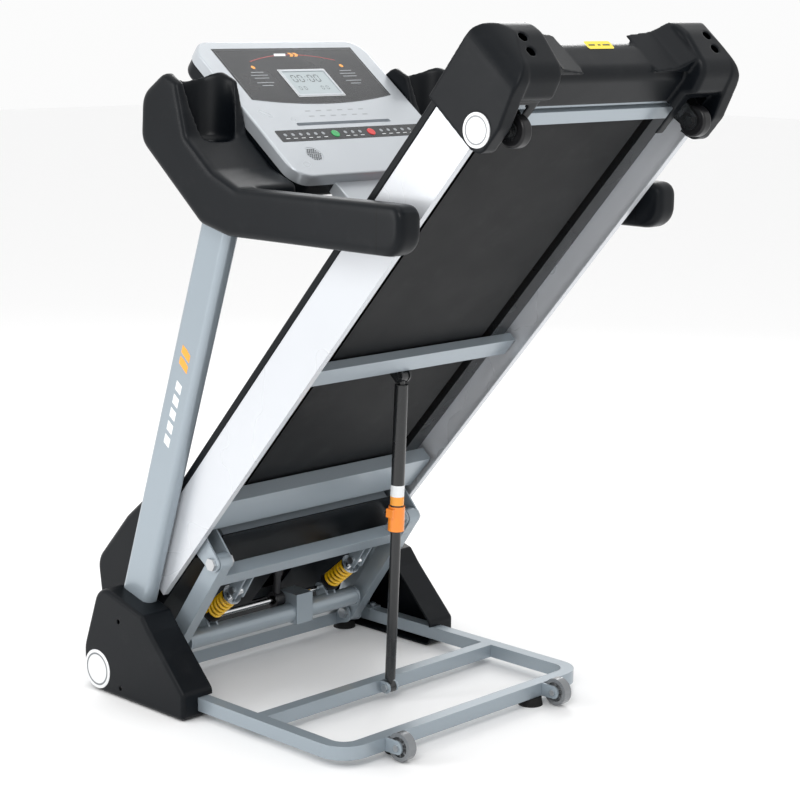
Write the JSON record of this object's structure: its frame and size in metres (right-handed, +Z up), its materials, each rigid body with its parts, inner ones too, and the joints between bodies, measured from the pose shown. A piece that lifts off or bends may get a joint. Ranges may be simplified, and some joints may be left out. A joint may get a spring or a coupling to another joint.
{
  "type": "treadmill",
  "caption": "Folding motorised treadmill stored upright: tipped deck with running belt, gas strut, shock-mounted lift frame, leaning uprights and tilted console.",
  "frame": {"origin": "middle of the bounding box at floor level, deck folded up", "axes": "+X to the user's right, +Y forward towards the motor end, +Z up"},
  "size_m": [0.803, 1.2001, 1.4071],
  "materials": {
    "frame_paint": "light blue-grey metallic satin",
    "rail_paint": "silver white satin",
    "black_steel": "black satin",
    "galvanised": "light grey satin",
    "black_plastic": "fine grained charcoal",
    "foot_rubber": "matt",
    "disc_silver": "silver satin",
    "bezel_silver": "silver satin",
    "overlay_dark": "printed satin",
    "lcd": "smooth",
    "key_green": "satin",
    "key_red": "satin",
    "wood": "sealed board",
    "belt_rubber": "fine textured",
    "rubber": "matt",
    "steel_bright": "polished",
    "steel_brushed": "turned",
    "zinc": "zinc plated",
    "spring_yellow": "gloss",
    "collar_orange": "satin",
    "wheel_grey": "smooth",
    "wheel_black": "smooth",
    "motor_black": "satin",
    "heat_sink": "extruded"
  },
  "bodies": {
    "base": {"base_side_rails": "frame_paint", "base_rear_rail": "frame_paint", "base_cross_tubes": "frame_paint", "base_feet": "foot_rubber", "base_brackets": "frame_paint", "base_bolts": "zinc", "base_cover_left": "black_plastic", "base_cover_right": "black_plastic", "cover_discs": "disc_silver", "upright_left": "frame_paint", "upright_right": "frame_paint", "handle_left": "black_plastic", "handle_right": "black_plastic", "cross_bar": "black_steel", "console_bezel": "bezel_silver", "console_shell": "black_plastic", "console_tongue": "bezel_silver", "console_overlays": "overlay_dark", "lcd_screen": "lcd", "lcd_frame": "bezel_silver", "speaker_grilles": "bezel_silver"},
    "deck": {"deck_long_tubes": "black_steel", "deck_cross_members": "galvanised", "deck_cushions": "rubber", "running_board": "wood", "running_belt": "belt_rubber", "roller_axles": "zinc", "rear_cap": "black_plastic", "cap_discs": "disc_silver", "deck_brackets": "black_steel", "deck_skirts": "rail_paint", "foot_trims": "black_plastic", "motor_hood": "black_plastic", "motor_pan": "black_plastic", "drive_motor": "motor_black", "drive_belt": "rubber", "controller": "heat_sink", "lift_arms": "frame_paint", "lift_cross_tube": "frame_paint", "deck_pivot_ears": "galvanised", "lift_bolts": "zinc", "incline_motor": "motor_black"},
    "torque": {"torque_tube": "frame_paint", "torque_shaft": "steel_bright"},
    "shock_upper": {"shock_rods": "steel_bright", "shock_springs": "spring_yellow"},
    "shock_lower": {"shock_cans": "motor_black"},
    "strut_lower": {"strut_rod": "black_steel"},
    "strut_upper": {"strut_tube": "black_steel", "strut_collar": "collar_orange"},
    "front_roller": {"front_roller": "steel_brushed"},
    "rear_roller": {"rear_roller": "steel_brushed"},
    "rotor": {"motor_rotor": "steel_brushed"},
    "key_start": {"key_start": "key_green"},
    "key_stop": {"key_stop": "key_red"},
    "safety_key": {"safety_key": "key_red"},
    "transport_wheel_left": {"transport_wheel_left": "wheel_grey"},
    "transport_wheel_right": {"transport_wheel_right": "wheel_grey"},
    "deck_wheel_left": {"deck_wheel_left": "wheel_black"},
    "deck_wheel_right": {"deck_wheel_right": "wheel_black"}
  },
  "joints": [
    {"name": "deck_fold", "type": "hinge", "parent": "base", "child": "deck", "pos_m": [0, 0.40176, 0.05], "axis": [1, 0, 0], "range_deg": [0, 51.89]},
    {"name": "strut_swing", "type": "hinge", "parent": "base", "child": "strut_lower", "pos_m": [0, -0.00024, 0.031], "axis": [1, 0, 0], "range_deg": [-0.01, 75.5]},
    {"name": "strut_slide", "type": "slide", "parent": "strut_lower", "child": "strut_upper", "axis": [0, -0.0391, 0.9992], "range_m": [-0.28682, 0.0005]},
    {"name": "suspension", "type": "hinge", "parent": "deck", "child": "torque", "pos_m": [0, 0.36602, 0.10066], "axis": [1, 0, 0], "range_deg": [0, 6.02], "stiffness_Nm_per_rad": 900},
    {"name": "shock_swing", "type": "hinge", "parent": "deck", "child": "shock_upper", "pos_m": [0, 0.2811, 0.21732], "axis": [1, 0, 0], "range_deg": [-1, 1]},
    {"name": "shock_slide", "type": "slide", "parent": "shock_upper", "child": "shock_lower", "axis": [0, -0.7804, 0.6252], "range_m": [-0.0002, 0.00426], "deforming": ["shock_springs"]},
    {"name": "front_roller_spin", "type": "hinge", "parent": "deck", "child": "front_roller", "pos_m": [0, 0.3366, 0.35796], "axis": [1, 0, 0], "continuous": true},
    {"name": "rear_roller_spin", "type": "hinge", "parent": "deck", "child": "rear_roller", "pos_m": [0, -0.4995, 1.32319], "axis": [1, 0, 0], "continuous": true},
    {"name": "motor_spin", "type": "hinge", "parent": "deck", "child": "rotor", "pos_m": [0, 0.45692, 0.20685], "axis": [1, 0, 0], "continuous": true},
    {"name": "key_start_press", "type": "slide", "parent": "base", "child": "key_start", "axis": [0, 0.6101, -0.7923], "range_m": [0, 0.001], "stiffness_N_per_m": 400},
    {"name": "key_stop_press", "type": "slide", "parent": "base", "child": "key_stop", "axis": [0, 0.6101, -0.7923], "range_m": [0, 0.001], "stiffness_N_per_m": 400},
    {"name": "safety_key_pull", "type": "slide", "parent": "base", "child": "safety_key", "axis": [0, -0.6101, 0.7923], "range_m": [0, 0.012]},
    {"name": "transport_wheel_left_spin", "type": "hinge", "parent": "base", "child": "transport_wheel_left", "pos_m": [-0.232, -0.26324, 0.031], "axis": [1, 0, 0], "continuous": true},
    {"name": "deck_wheel_left_spin", "type": "hinge", "parent": "deck", "child": "deck_wheel_left", "pos_m": [-0.258, -0.54215, 1.22274], "axis": [1, 0, 0], "continuous": true},
    {"name": "transport_wheel_right_spin", "type": "hinge", "parent": "base", "child": "transport_wheel_right", "pos_m": [0.232, -0.26324, 0.031], "axis": [1, 0, 0], "continuous": true},
    {"name": "deck_wheel_right_spin", "type": "hinge", "parent": "deck", "child": "deck_wheel_right", "pos_m": [0.258, -0.54215, 1.22274], "axis": [1, 0, 0], "continuous": true}
  ],
  "couplings": [
    {"joint": "strut_swing", "follows": "deck_fold", "ratio": 1.454},
    {"joint": "strut_slide", "follows": "deck_fold", "m_per_rad": -0.31613},
    {"joint": "shock_swing", "follows": "suspension", "ratio": -0.031567},
    {"joint": "shock_slide", "follows": "suspension", "m_per_rad": 0.037756},
    {"joint": "rear_roller_spin", "follows": "front_roller_spin", "ratio": 1},
    {"joint": "motor_spin", "follows": "front_roller_spin", "ratio": 2}
  ]
}
